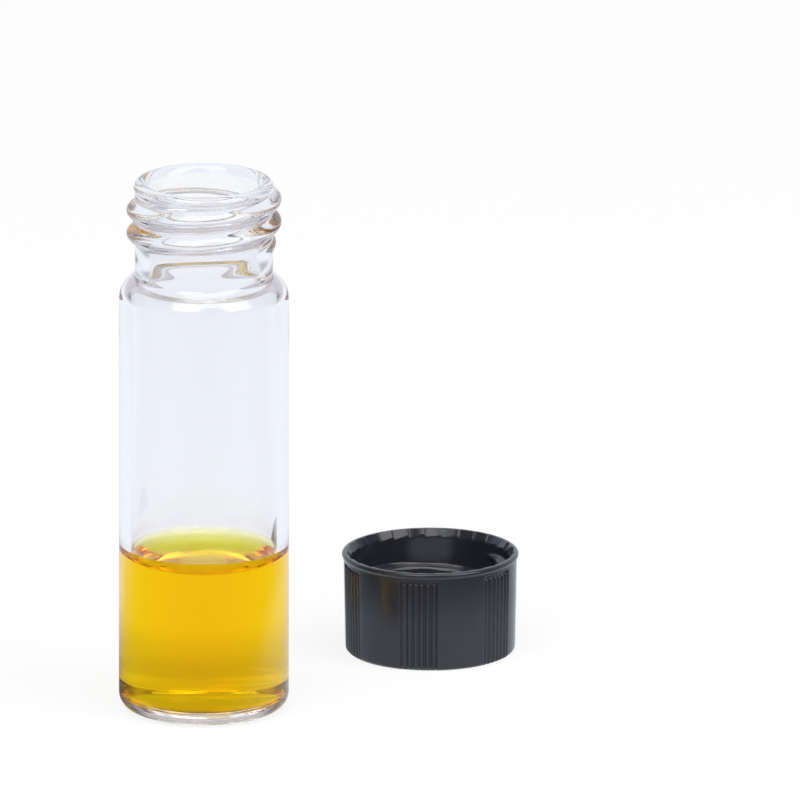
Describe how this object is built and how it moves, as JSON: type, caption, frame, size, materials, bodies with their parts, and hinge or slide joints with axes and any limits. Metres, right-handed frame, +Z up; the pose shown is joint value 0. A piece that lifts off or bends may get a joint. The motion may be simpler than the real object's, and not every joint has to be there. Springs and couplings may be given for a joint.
{
  "type": "glass sample vial",
  "caption": "Clear glass screw-neck sample vial, part filled with yellow liquid, with its lined black screw cap taken off and laid mouth up beside it.",
  "frame": {"origin": "on the vial's axis, in the plane of the ring that the vial stands on", "axes": "+Z up along the vial's axis, towards its mouth; the cap lies towards +X and +Y"},
  "size_m": [0.0353, 0.0339, 0.0482],
  "materials": {
    "clear_glass": "clear, fire-polished",
    "yellow_sample": "clear amber-yellow liquid",
    "black_plastic": "moulded, semi-gloss",
    "liner_disc": "matte, slightly translucent"
  },
  "bodies": {
    "root": {"vial": "clear_glass", "sample_liquid": "yellow_sample", "screw_cap": "black_plastic", "cap_liner": "liner_disc"}
  },
  "joints": []
}
